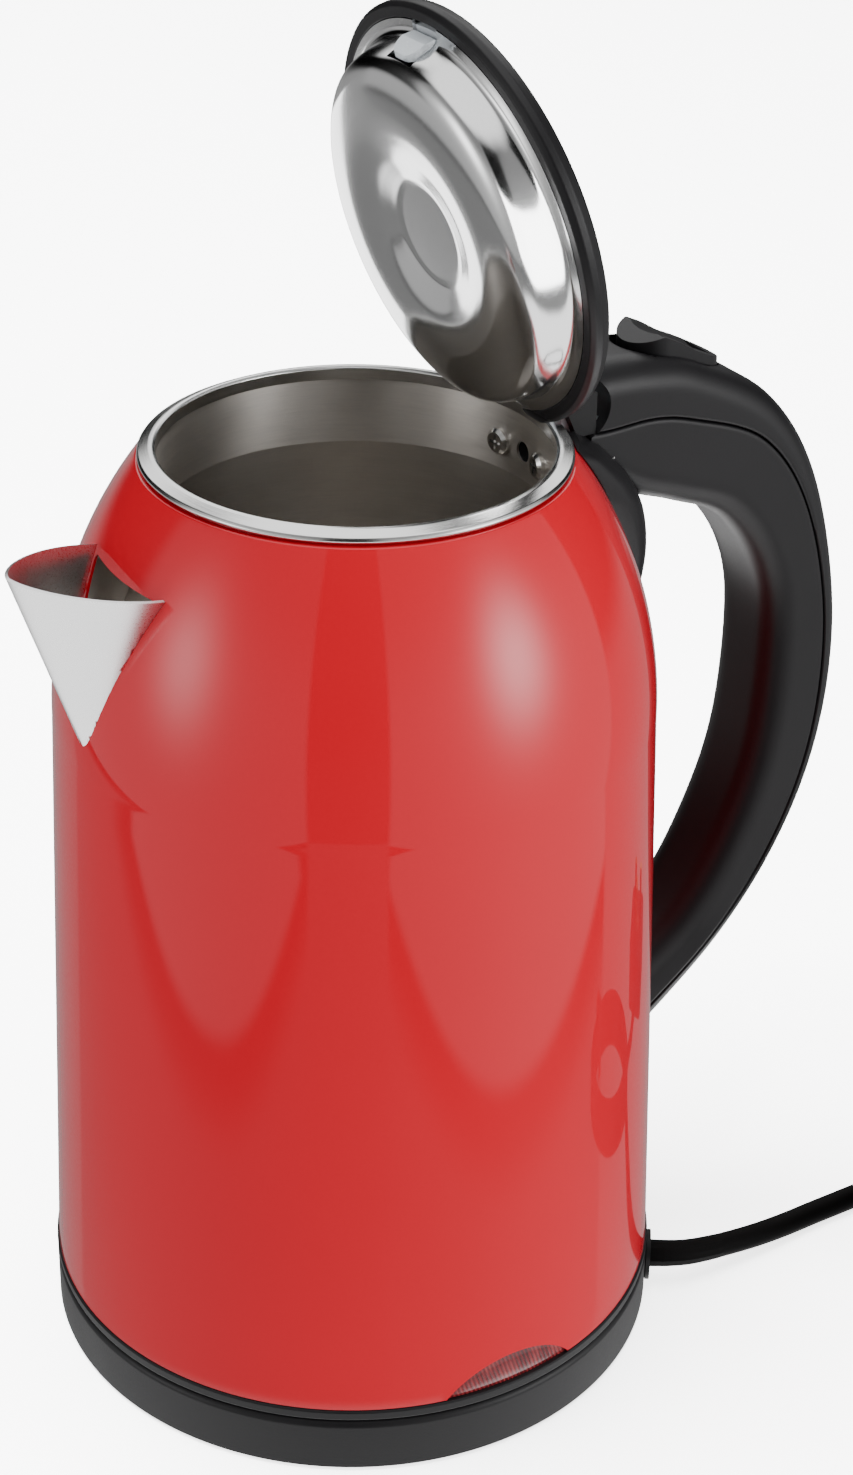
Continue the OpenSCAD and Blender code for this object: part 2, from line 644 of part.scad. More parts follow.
module lid_pan() color("#bdbdbb") open_lid() difference() {
    rotate_extrude()
        polygon([[0, 247.2], [12, 247.2], [15.5, 246.4], [20, 245.2], [24.5, 244.4], [32, 243.9], [39, 243.7],
            [41.6, 244.3], [43.8, 246], [44.8, 248.4], [45.6, 254], [46.6, 255.8], [49.8, ring_low_z],
            [49.8, 257.1], [46.2, 256.6], [45, 254.6], [44.2, 248.6], [43.3, 246.6], [41.3, 245],
            [39, 244.4], [32, 244.6], [24.5, 245.1], [20, 245.9], [15.5, 247.1], [12, 247.9], [0, 247.9]]);
    translate([-60, -5.2, 248]) cube([20, 10.4, 12]);
    hinge_swing();
    hinge_slot(46.6);
}

module lid_frame() color("#b9bcc0") open_lid() difference() {
    union() {
        translate([0, 0, 257.15]) cylinder(r = 48.5, h = 1.45);
        translate([-22, -3, 252.6]) cube([2, 6, 5]);
        for (a = lid_screw_angles) rotate([0, 0, a]) translate([30, 0, 245.1]) cylinder(r = 3.2, h = 13);
        along_y(7.2) hull() {
            translate([pivot_x, pivot_z]) circle(r = 3.6);
            translate([38, 257.2]) square([3, 4.2]);
        }
    }
    for (y = [-11.4, 7.2]) translate([42.2, y, 240]) cube([30, 4.2, 40]);
    hinge_swing();
    translate([pivot_x - 4.5, -3, pivot_z - 4.5]) cube([9, 6, 9]);
    bar_y(pivot_x, pivot_z, pin_r + 0.05, -30, 30);
    translate([button_x, 0, 250]) cylinder(r = 2.7, h = 30);
    for (a = lid_screw_angles) rotate([0, 0, a]) translate([30, 0, 240]) cylinder(r = 1.3, h = 30);
}

module lid_screws() color("silver") open_lid()
    for (a = lid_screw_angles) rotate([0, 0, a]) translate([30, 0, 0]) {
        translate([0, 0, 247]) cylinder(r = 1.3, h = 12);
        translate([0, 0, 258.65]) cylinder(r = 2.8, h = 1.6);
    }

module lid_latch() color("#e9ecef") open_lid() difference() {
    union() {
        intersection() {
            along_y(6) polygon([[-44, 248.5], [-45.4, 248.5], [-47.3, 253], [-47.3, 256.5], [-34, 256.5],
                [-34, 254.3], [-44, 254.3]]);
            translate([-60, 0, 0]) rotate([90, 0, 90]) linear_extrude(30)
                polygon([[-4.8, 258], [-4.8, 252.6], [-4.3, 250.7], [-3.2, 249.3], [-1.6, 248.6],
                    [1.6, 248.6], [3.2, 249.3], [4.3, 250.7], [4.8, 252.6], [4.8, 258]]);
        }
        translate([-35, 0, 254.3]) cylinder(r = 6.5, h = 2.2);
    }
    translate([-38.5, -1.9, 250]) cube([6.5, 3.8, 10]);
}

module lid_button() color("#2c2c2e") open_lid() translate([button_x, 0, 0]) {
    translate([0, 0, 261.8]) cylinder(r = 8, h = 4.7);
    translate([-1.6, -1.5, 254]) cube([3.2, 3, 8]);
}

// A stack of wire turns along Z
module coils(r, wire, turns, pitch) for (i = [0:turns - 1]) translate([0, 0, i * pitch])
    rotate_extrude() translate([r, 0]) circle(r = wire, $fn = 16);

module latch_spring() color("#8d8d8d") open_lid() translate([-25.4, 0, 254.8]) rotate([0, 90, 0])
    coils(1.6, 0.4, 4, 1);

base_housing();
base_plate();
base_foot();
base_screws();
base_connector();
base_contacts();
cord_gland();
cord_clamp();
strain_relief();
power_lead();
lead_coil();
lead_tie();
plug_body();
plug_pins();
plug_fuse_cover();
coupler_socket();
coupler_contacts();
outer_shell();
inner_pot();
neck_rim();
spout();
spout_throat();
element_plate();
heating_element();
control_unit();
bottom_ring();
bottom_screws();
indicator_lens();
indicator_lamp();
handle_body();
handle_cover();
handle_screws();
neck_screws();
steam_tube();
steam_switch();
bimetal_disc();
handle_wires();
hinge_bracket();
hinge_cover();
hinge_pin();
hinge_spring();
switch_rocker();
switch_pin();
lid_ring();
lid_cap();
lid_pan();
lid_frame();
lid_screws();
latch_spring();
lid_latch();
lid_button();
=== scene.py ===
"""Looks of the electric kettle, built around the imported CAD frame. Metres, +Z up, handle at +X."""
import json
import math

import bmesh
import bpy
import numpy as np
from mathutils import Matrix, Vector


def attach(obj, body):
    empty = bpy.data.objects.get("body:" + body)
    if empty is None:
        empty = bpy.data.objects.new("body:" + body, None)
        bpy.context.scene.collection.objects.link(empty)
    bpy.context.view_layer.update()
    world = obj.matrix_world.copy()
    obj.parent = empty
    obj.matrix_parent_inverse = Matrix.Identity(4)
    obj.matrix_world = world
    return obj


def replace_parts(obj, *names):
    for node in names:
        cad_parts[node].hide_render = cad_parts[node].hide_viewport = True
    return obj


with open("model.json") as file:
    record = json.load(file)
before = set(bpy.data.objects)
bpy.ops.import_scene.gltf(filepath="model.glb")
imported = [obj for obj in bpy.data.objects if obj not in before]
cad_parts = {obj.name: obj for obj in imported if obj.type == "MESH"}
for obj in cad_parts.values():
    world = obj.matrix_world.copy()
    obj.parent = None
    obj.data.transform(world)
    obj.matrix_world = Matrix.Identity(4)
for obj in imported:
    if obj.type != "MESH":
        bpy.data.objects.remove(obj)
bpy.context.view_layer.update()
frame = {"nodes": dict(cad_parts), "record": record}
MM = 0.001
scene = bpy.context.scene

# ---------------------------------------------------------------- camera

HANDLE_TURN = 30.5
camera_data = bpy.data.cameras.new("camera")
camera_data.sensor_width = 36.0
camera_data.sensor_fit = "AUTO"
camera_data.lens = 70.17
camera_data.clip_start = 0.01
camera = bpy.data.objects.new("camera", camera_data)
scene.collection.objects.link(camera)
camera.matrix_world = (Matrix.Translation((-0.32905, -0.55862, 0.53321))
                       @ Matrix.Rotation(math.radians(-(HANDLE_TURN + 1.63)), 4, "Z")
                       @ Matrix.Rotation(math.radians(90 - 29.02), 4, "X")
                       @ Matrix.Rotation(math.radians(1.02), 4, "Z"))
scene.camera = camera


# ---------------------------------------------------------------- node materials

class Nodes:
    """A short way to write a material's node graph."""

    def __init__(self, name, holder=None):
        """A material of this name, or an existing world as the holder."""
        self.mat = holder or bpy.data.materials.new(name)
        self.mat.use_nodes = True
        self.tree = self.mat.node_tree
        self.tree.nodes.clear()
        self.out = self.tree.nodes.new("ShaderNodeOutputWorld" if holder else "ShaderNodeOutputMaterial")
        self.coords = self.tree.nodes.new("ShaderNodeTexCoord")

    def put(self, socket, value):
        if isinstance(value, bpy.types.NodeSocket):
            self.tree.links.new(value, socket)
        else:
            socket.default_value = value

    def math(self, op, a, b=0.0):
        n = self.tree.nodes.new("ShaderNodeMath")
        n.operation = op
        self.put(n.inputs[0], a)
        self.put(n.inputs[1], b)
        return n.outputs[0]

    def split(self):
        n = self.tree.nodes.new("ShaderNodeSeparateXYZ")
        self.put(n.inputs[0], self.coords.outputs["Object"])
        return n.outputs

    def join(self, x, y, z):
        n = self.tree.nodes.new("ShaderNodeCombineXYZ")
        for socket, value in zip(n.inputs, (x, y, z)):
            self.put(socket, value)
        return n.outputs[0]

    def noise(self, scale, detail=2.0, rough=0.5, vector=None):
        n = self.tree.nodes.new("ShaderNodeTexNoise")
        self.put(n.inputs["Vector"], vector or self.coords.outputs["Object"])
        self.put(n.inputs["Scale"], scale)
        self.put(n.inputs["Detail"], detail)
        self.put(n.inputs["Roughness"], rough)
        return n.outputs["Fac"]

    def ramp(self, fac, *stops):
        n = self.tree.nodes.new("ShaderNodeValToRGB")
        self.put(n.inputs[0], fac)
        elements = n.color_ramp.elements
        while len(elements) < len(stops):
            elements.new(0.5)
        for e, (at, colour) in zip(elements, stops):
            e.position = at
            e.color = (*colour, 1)
        return n.outputs[0]

    def range(self, fac, low, high, from_low=0.0, from_high=1.0):
        n = self.tree.nodes.new("ShaderNodeMapRange")
        for key, value in (("Value", fac), ("From Min", from_low), ("From Max", from_high),
                           ("To Min", low), ("To Max", high)):
            self.put(n.inputs[key], value)
        return n.outputs[0]

    def bump(self, height, strength, distance):
        n = self.tree.nodes.new("ShaderNodeBump")
        self.put(n.inputs["Height"], height)
        self.put(n.inputs["Strength"], strength)
        self.put(n.inputs["Distance"], distance)
        return n.outputs[0]

    def around(self):
        """The direction of turning marks round the Z axis."""
        n = self.tree.nodes.new("ShaderNodeTangent")
        n.direction_type = "RADIAL"
        n.axis = "Z"
        return n.outputs[0]

    def shader(self, **inputs):
        n = self.tree.nodes.new("ShaderNodeBsdfPrincipled")
        for key, value in inputs.items():
            self.put(n.inputs[key.replace("_", " ")], value)
        self.tree.links.new(n.outputs[0], self.out.inputs["Surface"])
        return self.mat


def moulded(name, colour, rough, grain=0.25, shine=0.5):
    """Moulded plastic: fine texture, slight unevenness in gloss and colour."""
    n = Nodes(name)
    fine, broad = n.noise(2160.0, 3.0), n.noise(28.0, 4.0)
    dark = tuple(c * 0.82 for c in colour)
    return n.shader(
        Base_Color=n.ramp(broad, (0.3, dark), (0.75, colour)),
        Roughness=n.range(n.math("ADD", n.math("MULTIPLY", broad, 0.6), n.math("MULTIPLY", fine, 0.4)),
                          rough * 0.85, rough * 1.2, 0.3, 0.7),
        Normal=n.bump(fine, grain, 0.00012), Specular_IOR_Level=shine)


def metal(name, colour, rough, brushing="round", strength=0.12, anisotropic=0.0):
    """Steel with fine brush lines: round the Z axis, or even in all directions."""
    n = Nodes(name)
    x, y, z = n.split()
    if brushing == "round":
        lines_per_m = 1500.0
        radius = n.math("SQRT", n.math("ADD", n.math("MULTIPLY", x, x), n.math("MULTIPLY", y, y)))
        turn = n.math("ARCTAN2", y, x)
        lines = n.noise(1.0, 4.0, 0.75, n.join(n.math("MULTIPLY", turn, 5.0),
                                               n.math("MULTIPLY", radius, lines_per_m),
                                               n.math("MULTIPLY", z, lines_per_m)))
    else:
        lines = n.noise(4200.0, 3.0, 0.6)
    broad = n.noise(22.0, 3.0)
    light = tuple(min(1.0, c * 1.06) for c in colour)
    dark = tuple(c * 0.9 for c in colour)
    return n.shader(
        Base_Color=n.ramp(n.math("ADD", n.math("MULTIPLY", lines, 0.7), n.math("MULTIPLY", broad, 0.3)),
                          (0.3, dark), (0.7, light)),
        Metallic=1.0, Roughness=n.range(lines, rough * 0.8, rough * 1.25, 0.3, 0.7),
        Normal=n.bump(lines, strength, 0.00006), Anisotropic=anisotropic,
        **({"Tangent": n.around(), "Anisotropic_Rotation": 0.25} if anisotropic else {}))


def red_coat():
    """Deep red lacquer with a clear coat."""
    n = Nodes("red_coat")
    broad, fine = n.noise(9.0, 3.0), n.noise(1500.0, 2.0)
    return n.shader(
        Base_Color=n.ramp(n.math("ADD", n.math("MULTIPLY", broad, 0.7), n.math("MULTIPLY", fine, 0.3)),
                          (0.3, (0.57, 0.0035, 0.015)), (0.7, (0.61, 0.0042, 0.017))),
        Roughness=n.range(fine, 0.36, 0.44, 0.3, 0.7), Specular_IOR_Level=0.05, Coat_Weight=1.0,
        Coat_Roughness=0.02, Normal=n.bump(n.noise(60.0, 2.0), 0.006, 0.0002), IOR=1.5)


def ribbed_lens():
    """Clear red plastic with fine upright ribs moulded on its back, and the shadow of the lamp behind it
    painted into its colour as blotches of darker and lighter red.
    """
    n = Nodes("ribbed_lens")
    x, y, z = n.split()
    ribs = n.math("SINE", n.math("MULTIPLY", n.math("ADD", x, n.math("MULTIPLY", z, 0.35)), 5200.0))
    # painted shadow of the lamp behind the lens: noise blotches that darken and lighten the red, mixed with
    # the rib stripes
    painted_lamp_shadow = n.noise(160.0, 2.0, 0.5, n.join(x, y, n.math("MULTIPLY", z, 0.5)))
    ribs_and_painted_shadow = n.math("ADD", n.math("MULTIPLY", n.range(ribs, 0.0, 1.0, -1.0, 1.0), 0.22),
                  n.math("MULTIPLY", painted_lamp_shadow, 0.8))
    return n.shader(
        Base_Color=n.ramp(ribs_and_painted_shadow, (0.25, (0.03, 0.003, 0.005)), (0.55, (0.16, 0.008, 0.012)),
                          (0.9, (0.45, 0.05, 0.05))),
        Roughness=0.25, Normal=n.bump(ribs, 0.22, 0.0002), Coat_Weight=1.0, Coat_Roughness=0.03)


MATERIALS = {
    "red_enamel": red_coat(),
    "brushed_inside": metal("brushed_inside", (0.70, 0.66, 0.61), 0.42, "round", 0.9, 0.9),
    "satin_rim": metal("satin_rim", (0.80, 0.80, 0.79), 0.2, "round", 0.2),
    "satin_spout": metal("satin_spout", (0.78, 0.78, 0.78), 0.3, "even", 0.05),
    "lid_steel": metal("lid_steel", (0.72, 0.72, 0.72), 0.13, "even", 0.05),
    "screw_steel": metal("screw_steel", (0.78, 0.77, 0.75), 0.16, "even", 0.05),
    "spring_steel": metal("spring_steel", (0.5, 0.49, 0.47), 0.3, "even", 0.1),
    "dark_metal": metal("dark_metal", (0.42, 0.41, 0.39), 0.5, "even", 0.5),
    "contact_brass": metal("contact_brass", (0.72, 0.5, 0.22), 0.25, "even", 0.1),
    "black_plastic": moulded("black_plastic", (0.0085, 0.008, 0.009), 0.4, 0.2, 0.3),
    "black_matte": moulded("black_matte", (0.008, 0.008, 0.0085), 0.5, 0.35, 0.3),
    "grey_plastic": moulded("grey_plastic", (0.52, 0.55, 0.58), 0.4, 0.15),
    "white_plastic": moulded("white_plastic", (0.75, 0.74, 0.7), 0.4, 0.2),
    "clear_latch": moulded("clear_latch", (0.75, 0.8, 0.84), 0.25, 0.05),
    "lens": ribbed_lens(),
    "rubber": moulded("rubber", (0.02, 0.02, 0.02), 0.7, 0.5),
    "cord_skin": moulded("cord_skin", (0.003, 0.0028, 0.0028), 0.6, 0.3, 0.07),
    "wire_skin": moulded("wire_skin", (0.2, 0.03, 0.02), 0.5, 0.2),
    "fuse_red": moulded("fuse_red", (0.35, 0.03, 0.02), 0.4, 0.2),
}
SLOT_OF = {s["node"]: s["material_slot"] for s in frame["record"]["subparts"]}
for node_name, node in frame["nodes"].items():
    material = MATERIALS[SLOT_OF[node_name]]
    for index in range(len(node.material_slots)):
        node.material_slots[index].material = material

# ---------------------------------------------------------------- shapes

def unit(v):
    v = np.asarray(v, float)
    return v / np.linalg.norm(v)


def on_curve(points, s):
    """A point on the smooth curve through a list of points, at a station such as 2.4."""
    points = np.asarray(points, float)
    last = len(points) - 1
    i = min(int(s), last - 1)
    t = s - i
    a, b, c, d = points[max(i - 1, 0)], points[i], points[i + 1], points[min(i + 2, last)]
    return (b + t * (c - a) / 2 + t ** 2 * (a - 2.5 * b + 2 * c - d / 2)
            + t ** 3 * (1.5 * (b - c) + (d - a) / 2))


def rounded(points, radii, steps=5):
    """A closed outline with its corners rounded. Radii are one number, or one for each corner."""
    points = [np.asarray(p, float) for p in points]
    count = len(points)
    radii = [radii] * count if np.isscalar(radii) else radii
    out = []
    for i, p in enumerate(points):
        a, b = points[i - 1], points[(i + 1) % count]
        u, v = unit(a - p), unit(b - p)
        angle = math.acos(max(-1.0, min(1.0, float(u @ v))))
        if radii[i] <= 0 or angle > math.radians(176):
            out.append(p)
            continue
        reach = min(radii[i] / math.tan(angle / 2),
                    0.48 * np.linalg.norm(a - p), 0.48 * np.linalg.norm(b - p))
        r = reach * math.tan(angle / 2)
        middle = p + unit(u + v) * r / math.sin(angle / 2)
        start, end = p + u * reach - middle, p + v * reach - middle
        whole = math.acos(max(-1.0, min(1.0, float(unit(start) @ unit(end)))))
        for k in range(steps + 1):
            t = k / steps
            out.append(middle + (math.sin((1 - t) * whole) * start
                                 + math.sin(t * whole) * end) / math.sin(whole))
    return out


def finish_mesh(name, verts, faces, material, smooth_angle=35.0, weighted=True):
    """A mesh object in metres from points in millimetres, smooth but for its sharp edges."""
    mesh = bpy.data.meshes.new(name)
    mesh.from_pydata([tuple(float(c) * MM for c in v) for v in verts], [], faces)
    bm = bmesh.new()
    bm.from_mesh(mesh)
    bmesh.ops.recalc_face_normals(bm, faces=bm.faces)
    bm.to_mesh(mesh)
    bm.free()
    obj = bpy.data.objects.new(name, mesh)
    scene.collection.objects.link(obj)
    mesh.materials.append(MATERIALS[material])
    smooth(obj, smooth_angle, weighted)
    return obj


def smooth(obj, angle=40.0, weighted=True):
    """Smooth shading, with edges sharper than the angle kept sharp."""
    obj.data.shade_smooth()
    obj.data.set_sharp_from_angle(angle=math.radians(angle))
    if weighted and "weighted" not in obj.modifiers:
        m = obj.modifiers.new("weighted", "WEIGHTED_NORMAL")
        m.keep_sharp = True
        m.weight = 80


def apply_modifiers(obj):
    """Puts the result of an object's modifiers into its mesh."""
    graph = bpy.context.evaluated_depsgraph_get()
    made = bpy.data.meshes.new_from_object(obj.evaluated_get(graph), depsgraph=graph)
    old = obj.data
    obj.modifiers.clear()
    obj.data = made
    bpy.data.meshes.remove(old)
    return obj


def cut(obj, *cutters, operation="DIFFERENCE"):
    """Cuts other shapes out of a piece (or keeps what they share with it), and removes them."""
    for cutter in cutters:
        obj.modifiers.clear()
        m = obj.modifiers.new("cut", "BOOLEAN")
        m.operation = operation
        m.solver = "EXACT"
        m.object = cutter
        apply_modifiers(obj)
        bpy.data.objects.remove(cutter)
    return obj


def revolve(name, outline, material, segments=256):
    """A closed outline of (radius, height) points turned about Z."""
    verts, index = [], []
    for r, z in outline:
        if r < 1e-6:
            verts.append((0, 0, z))
            index.append([len(verts) - 1] * segments)
            continue
        row = []
        for k in range(segments):
            a = math.radians(360.0 * k / segments)
            verts.append((r * math.cos(a), r * math.sin(a), z))
            row.append(len(verts) - 1)
        index.append(row)
    faces = []
    rings = len(outline)
    for i in range(rings):
        a, b = index[i], index[(i + 1) % rings]
        if a[0] == a[-1] and b[0] == b[-1]:
            continue
        for k in range(segments):
            n = (k + 1) % segments
            face = [a[k], a[n], b[n], b[k]]
            face = [v for j, v in enumerate(face) if v not in face[:j]]
            if len(face) > 2:
                faces.append(face)
    return finish_mesh(name, verts, faces, material)


def prism(name, outline, axis, low, high, material="black_matte"):
    """An outline pushed along one axis between two heights."""
    place = {"x": lambda u, v, w: (w, u, v), "y": lambda u, v, w: (u, w, v),
             "z": lambda u, v, w: (u, v, w)}[axis]
    count = len(outline)
    verts = [place(u, v, w) for w in (low, high) for u, v in outline]
    faces = [[i, (i + 1) % count, count + (i + 1) % count, count + i] for i in range(count)]
    faces += [list(range(count)), list(range(count, 2 * count))]
    obj = finish_mesh(name, verts, faces, material, weighted=False)
    smooth(obj)
    return obj


def loft(name, rings, material, smooth_angle=35.0):
    """Skin over a list of rings, each with the same number of points, with closed ends."""
    count = len(rings[0])
    verts = [p for ring in rings for p in ring]
    faces = [[i * count + k, i * count + (k + 1) % count,
              (i + 1) * count + (k + 1) % count, (i + 1) * count + k]
             for i in range(len(rings) - 1) for k in range(count)]
    faces += [list(range(count)), [(len(rings) - 1) * count + k for k in range(count)]]
    return finish_mesh(name, verts, faces, material, smooth_angle)


def rod(name, a, b, r, material="black_matte", segments=48):
    """A round bar between two points, used to cut bores."""
    a, b = Vector(a), Vector(b)
    turn = (b - a).to_track_quat("Z", "X").to_matrix()
    angles = [2 * math.pi * k / segments for k in range(segments)]
    rings = [[Vector(p) + turn @ Vector((r * math.cos(t), r * math.sin(t), 0)) for t in angles]
             for p in (a, b)]
    return loft(name, rings, material)


def block(name, low, high):
    """A box between two corners, used to cut notches."""
    return prism(name, [(low[0], low[1]), (high[0], low[1]), (high[0], high[1]), (low[0], high[1])], "z",
                 low[2], high[2])

# ---------------------------------------------------------------- cord

LEAD_ROUTE = [(68.5, -48, 10), (73, -50.8, 9.9), (79, -52.8, 9.2), (86, -53.4, 8.1), (93, -53.4, 7),
              (101, -53.2, 5.8), (109, -52.7, 4.7), (117, -52.1, 3.9), (125, -51.6, 3.5), (133, -51.5, 3.4),
              (142, -51.5, 3.4), (153, -51.5, 3.4), (165, -51.5, 3.4)]
TAIL_ROUTE = [(148.3, -56, 22.9), (157, -51, 21), (167, -45.2, 17.5), (177, -39.5, 13.5), (187, -33.7, 10.8),
              (196, -28.5, 10)]
COIL_CENTRE, COIL_R, COIL_TURNS, CORD_D = (165, -85), 33.5, 2.917, 6.7
COIL_STEPS, COIL_LOW_Z = 70, 3.4
coil = []
for k in range(1, COIL_STEPS):
    f = k / COIL_STEPS
    a = math.radians(90 - 360 * COIL_TURNS * f)
    coil.append((COIL_CENTRE[0] + COIL_R * math.cos(a), COIL_CENTRE[1] + COIL_R * math.sin(a),
                 COIL_LOW_Z + f * COIL_TURNS * CORD_D))
lead = [on_curve(LEAD_ROUTE, k / 2) for k in range(2 * len(LEAD_ROUTE) - 1)]
tail = [on_curve(TAIL_ROUTE, k / 2) for k in range(2 * len(TAIL_ROUTE) - 1)]
cord_points = [*lead, *coil, *tail]
cord_data = bpy.data.curves.new("power_cord", "CURVE")
cord_data.dimensions = "3D"
cord_data.bevel_depth = CORD_D / 2 * MM
cord_data.bevel_resolution = 6
cord_data.resolution_u = 5
cord_data.use_fill_caps = True
spline = cord_data.splines.new("BEZIER")
spline.bezier_points.add(len(cord_points) - 1)
for knot, p in zip(spline.bezier_points, cord_points):
    knot.co = Vector(p) * MM
    knot.handle_left_type = knot.handle_right_type = "AUTO"
cord_obj = bpy.data.objects.new("power_cord", cord_data)
scene.collection.objects.link(cord_obj)
cord_data.materials.append(MATERIALS["cord_skin"])
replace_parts(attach(cord_obj, "base"), "power_lead", "lead_coil")

# ---------------------------------------------------------------- body

SHELL_LOW_R, SHELL_HIGH_R, SHELL_NECK_R = 82.8, 77.1, 53.9
SHELL_FOOT_Z, SHOULDER_Z, SHELL_TOP_Z, SHELL_T = 20.1, 184.0, 252.6, 0.8
SHOULDER_ARC = (((SHELL_HIGH_R - SHELL_NECK_R) ** 2 + (SHELL_TOP_Z - SHOULDER_Z) ** 2)
                / (2 * (SHELL_HIGH_R - SHELL_NECK_R)))


def shell_r(z):
    """The body's outer radius at a height: a straight taper, then one arc over the shoulder."""
    if z < SHOULDER_Z:
        return SHELL_LOW_R + (SHELL_HIGH_R - SHELL_LOW_R) * (z - SHELL_FOOT_Z) / (SHOULDER_Z - SHELL_FOOT_Z)
    return SHELL_HIGH_R - SHOULDER_ARC + math.sqrt(SHOULDER_ARC ** 2 - (z - SHOULDER_Z) ** 2)


def shell_heights(low, high):
    return ([z for z in np.linspace(SHELL_FOOT_Z, SHOULDER_Z, 28) if low < z < high]
            + [z for z in np.linspace(SHOULDER_Z, SHELL_TOP_Z, 44)[1:] if low < z < high])


def shell_solid(grow, low, high):
    """The body as one solid, a little larger, to cut away what would reach into it."""
    side = [(shell_r(z) + grow, z) for z in [low, *shell_heights(low, high), high]]
    return revolve("shell_cutter", [(0, low), *side, (0, high)], "black_matte")


def window_outline():
    """The opening behind the spout, in Y and Z: a tall triangle with rounded corners."""
    points = []
    for (y, z), r, low, high in (((14, 233), 1.5, -25, 90), ((-14, 233), 1.5, 90, 205),
                                 ((0, 196), 2.5, 205, 335)):
        for a in np.radians(np.linspace(low, high, 9)):
            points.append((y + r * math.cos(a), z + r * math.sin(a)))
    return points


LENS_R, LENS_Z = 24.5, 4.8
outside = [(shell_r(z), z) for z in [SHELL_FOOT_Z + 0.25, *shell_heights(SHELL_FOOT_Z + 0.3, 251.9)]]
inside = [(shell_r(z) - SHELL_T, z) for z in [SHELL_FOOT_Z, *shell_heights(SHELL_FOOT_Z, 251.7), 251.8]]
top_edge = rounded([(shell_r(251.6), 251.6), (SHELL_NECK_R, SHELL_TOP_Z), (50.0, SHELL_TOP_Z), (50.0, 251.8)],
                   [0, 0.8, 0.2, 0.2])
body_shell = revolve("body_shell",
                     [(SHELL_LOW_R - 0.25, SHELL_FOOT_Z), *outside, *top_edge, *reversed(inside)],
                     "red_enamel", 360)
cut(body_shell,
    prism("window_cutter", window_outline(), "x", -90, -50, "red_enamel"),
    rod("lens_cutter", (0, -70, LENS_Z), (0, -90, LENS_Z), LENS_R, "red_enamel", 128))
smooth(body_shell)
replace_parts(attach(body_shell, "kettle"), "outer_shell")

rim_outline = rounded([(48.9, 252.45), (48.9, 255.5), (49.7, 256.1), (50.6, 256.0), (53.1, 254.8),
                       (53.65, 254.0), (53.1, 253.1), (50, 253.1), (50, 252.45)],
                      [0.1, 0.5, 0.9, 1.5, 0.8, 0.6, 0.4, 0.1, 0.1], 6)
neck_ring = revolve("neck_ring", rim_outline, "satin_rim")
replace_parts(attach(neck_ring, "kettle"), "neck_rim")

# ---------------------------------------------------------------- spout

LIP_PIVOT, LIP_SLOPE = Vector((-60, 0, 235)), math.radians(10.2)
SPOUT_FOOT, SPOUT_FOOT_R, SPOUT_T = Vector((-71.6, 0, 194.2)), 5.5, 0.8


def lip_point(t):
    """The lip seen from above, from one side of the shell (t = -1) round the nose to the other (t = 1)."""
    ends = [np.array(p, float) for p in ((-58, 17.6), (-76, 22), (-93, 9), (-94.3, 0))]
    u = 1 - abs(t)
    x, y = (u ** 3 * ends[0] + 3 * u * u * (1 - u) * ends[1]
            + 3 * u * (1 - u) ** 2 * ends[2] + (1 - u) ** 3 * ends[3])
    return Matrix.Rotation(LIP_SLOPE, 3, "Y") @ Vector((x - LIP_PIVOT.x, math.copysign(y, t), 0)) + LIP_PIVOT


def spout_rings(wall, steps=72, rows=20):
    """Straight lines from the lip down to where they touch the rounded foot of the spout."""
    rings, near, outward_from = [], 0.004, Vector((-66, 0, 225))
    for k in range(steps + 1):
        t = -1 + 2 * k / steps
        p = lip_point(t)
        along = lip_point(min(1, t + near)) - lip_point(max(-1, t - near))
        if abs(t) < near:
            along = Vector((0, 1, 0))
        along.normalize()
        e1 = along.cross(Vector((0, 0, 1))).normalized()
        e2 = e1.cross(along).normalized()
        down = SPOUT_FOOT - p
        a, b = down.dot(e1), down.dot(e2)
        best = None
        for sign in (1, -1):
            angle = math.atan2(b, a) + sign * math.acos(-SPOUT_FOOT_R / math.hypot(a, b))
            n = math.cos(angle) * e1 + math.sin(angle) * e2
            if best is None or n.dot(p - outward_from) > best.dot(p - outward_from):
                best = n
        foot = SPOUT_FOOT + SPOUT_FOOT_R * best
        rings.append([p.lerp(foot, i / rows) - best * wall for i in range(rows + 1)])
    return rings


def make_spout():
    """The folded steel sheet of the spout, cut off where it meets the body."""
    outer, inner = spout_rings(0.0), spout_rings(SPOUT_T)
    cross = [[*o, *reversed(i)] for o, i in zip(outer, inner)]
    obj = loft("spout_sheet", cross, "satin_spout", smooth_angle=50)
    cut(obj, shell_solid(0.06, 170, SHELL_TOP_Z))
    smooth(obj)
    return obj


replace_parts(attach(make_spout(), "kettle"), "spout")

# ---------------------------------------------------------------- handle

HANDLE_OUTER = [(60, 267.2), (78, 266.2), (95, 262.2), (121, 247.2), (138.5, 221), (149, 180),
                (148, 142), (136.5, 108), (115, 77.5), (80, 48)]
HANDLE_INNER = [(60, 240), (76, 229), (90, 223.4), (107, 215.2), (119.5, 198.5), (124.6, 177),
                (122.8, 141), (113.2, 113), (98.5, 91), (76.5, 75)]
HANDLE_HALF = [14.5, 14.5, 14.5, 14.2, 14, 14, 14, 13.8, 13.2, 12.5]
HANDLE_SEAM = [0.62, 0.42, 0.38, 0.32, 0.3, 0.28, 0.27, 0.28, 0.3, 0.32]
CORNER_R, SEAM_GAP, POCKET_HALF = 8.0, 0.2, 13.6


